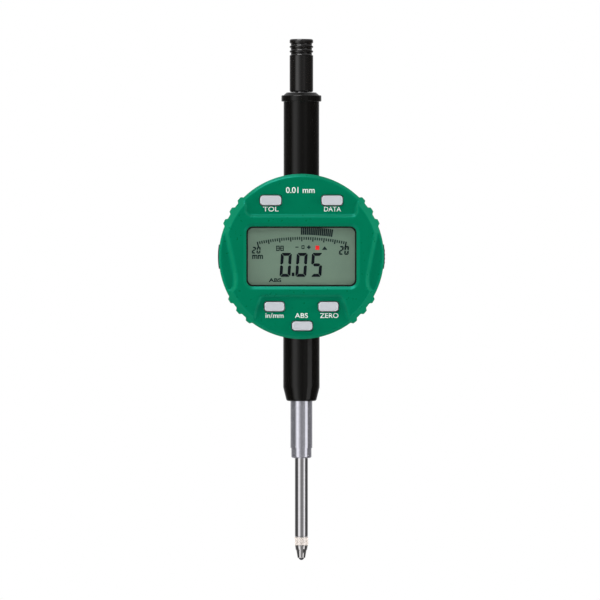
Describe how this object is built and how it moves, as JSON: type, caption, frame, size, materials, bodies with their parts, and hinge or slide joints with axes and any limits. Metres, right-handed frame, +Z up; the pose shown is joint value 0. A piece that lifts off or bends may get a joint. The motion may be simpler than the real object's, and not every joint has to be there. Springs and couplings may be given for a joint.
{
  "type": "digital dial indicator",
  "caption": "Digital dial indicator with a turning round display, sprung spindle, clamping stem, upper tube with lifting knob, keys, battery drawer and back lug.",
  "frame": {"origin": "on the spindle's axis, half way along the clamping length of the stem", "axes": "+Z up the spindle towards the lifting knob, the display faces -Y, +X to the reader's right"},
  "size_m": [0.0608, 0.0437, 0.1899],
  "materials": {
    "green_plastic": "satin moulded",
    "black_plastic": "fine textured moulded",
    "black_sleeve": "satin black anodised",
    "black_knob": "satin",
    "seal_rubber": "matte",
    "keypad_rubber": "matte",
    "cover_rubber": "matte",
    "lug_metal": "bead blasted",
    "screw_steel": "plated",
    "stem_steel": "ground",
    "spindle_steel": "ground and polished",
    "contact_steel": "turned",
    "carbide": "polished hard metal",
    "bush_bronze": "reamed",
    "spring_steel": "drawn wire",
    "circuit_board": "solder mask",
    "contact_brass": "nickel plated",
    "scale_glass": "etched",
    "clear_window": "clear acrylic",
    "lcd": "satin liquid crystal glass",
    "button_grey": "satin",
    "cell_steel": "nickel plated"
  },
  "bodies": {
    "measuring_body": {"main_housing": "black_plastic", "back_cover": "black_plastic", "back_seal": "seal_rubber", "back_lug": "lug_metal", "back_screws": "screw_steel", "lug_screws": "screw_steel", "stem": "stem_steel", "lower_bush": "bush_bronze", "middle_bush": "bush_bronze", "top_bush": "bush_bronze", "lower_sleeve": "black_sleeve", "upper_tube": "black_sleeve", "top_cap": "black_sleeve", "return_spring": "spring_steel", "guide_rod": "spindle_steel", "reading_head": "circuit_board", "battery_contacts": "contact_brass", "data_connector": "black_plastic", "turning_ring": "lug_metal", "ring_screws": "screw_steel"},
    "spindle": {"spindle": "spindle_steel", "contact_point": "contact_steel", "contact_ball": "carbide", "lifting_knob": "black_knob", "carriage": "lug_metal", "carriage_screw": "screw_steel", "scale_strip": "scale_glass", "spring_collar": "screw_steel"},
    "display": {"front_case": "green_plastic", "lcd_window": "clear_window", "lcd_panel": "lcd", "lcd_frame": "black_plastic", "zebra_strips": "seal_rubber", "display_pcb": "circuit_board", "keypad_mat": "keypad_rubber", "display_back": "black_plastic", "display_screws": "screw_steel"},
    "battery_drawer": {"battery_drawer": "black_plastic", "battery": "cell_steel"},
    "data_cover": {"data_cover": "cover_rubber"},
    "button_tol": {"button_tol": "button_grey"},
    "button_data": {"button_data": "button_grey"},
    "button_in_mm": {"button_in_mm": "button_grey"},
    "button_zero": {"button_zero": "button_grey"},
    "button_abs": {"button_abs": "button_grey"}
  },
  "joints": [
    {"name": "spindle_travel", "type": "slide", "parent": "measuring_body", "child": "spindle", "axis": [0, 0, 1], "range_m": [0, 0.0254], "stiffness_N_per_m": 40, "springref_m": -0.03, "deforming": ["return_spring"]},
    {"name": "display_turn", "type": "hinge", "parent": "measuring_body", "child": "display", "pos_m": [0, -0.0127, 0.0612], "axis": [0, -1, 0], "range_deg": [-135, 135]},
    {"name": "drawer_slide", "type": "slide", "parent": "measuring_body", "child": "battery_drawer", "axis": [-1, 0, 0], "range_m": [0, 0.022]},
    {"name": "cover_pull", "type": "slide", "parent": "measuring_body", "child": "data_cover", "axis": [1, 0, 0], "range_m": [0, 0.006]},
    {"name": "press_tol", "type": "slide", "parent": "display", "child": "button_tol", "axis": [0, 1, 0], "range_m": [0, 0.0005], "stiffness_N_per_m": 1500},
    {"name": "press_data", "type": "slide", "parent": "display", "child": "button_data", "axis": [0, 1, 0], "range_m": [0, 0.0005], "stiffness_N_per_m": 1500},
    {"name": "press_in_mm", "type": "slide", "parent": "display", "child": "button_in_mm", "axis": [0, 1, 0], "range_m": [0, 0.0005], "stiffness_N_per_m": 1500},
    {"name": "press_zero", "type": "slide", "parent": "display", "child": "button_zero", "axis": [0, 1, 0], "range_m": [0, 0.0005], "stiffness_N_per_m": 1500},
    {"name": "press_abs", "type": "slide", "parent": "display", "child": "button_abs", "axis": [0, 1, 0], "range_m": [0, 0.0005], "stiffness_N_per_m": 1500}
  ]
}
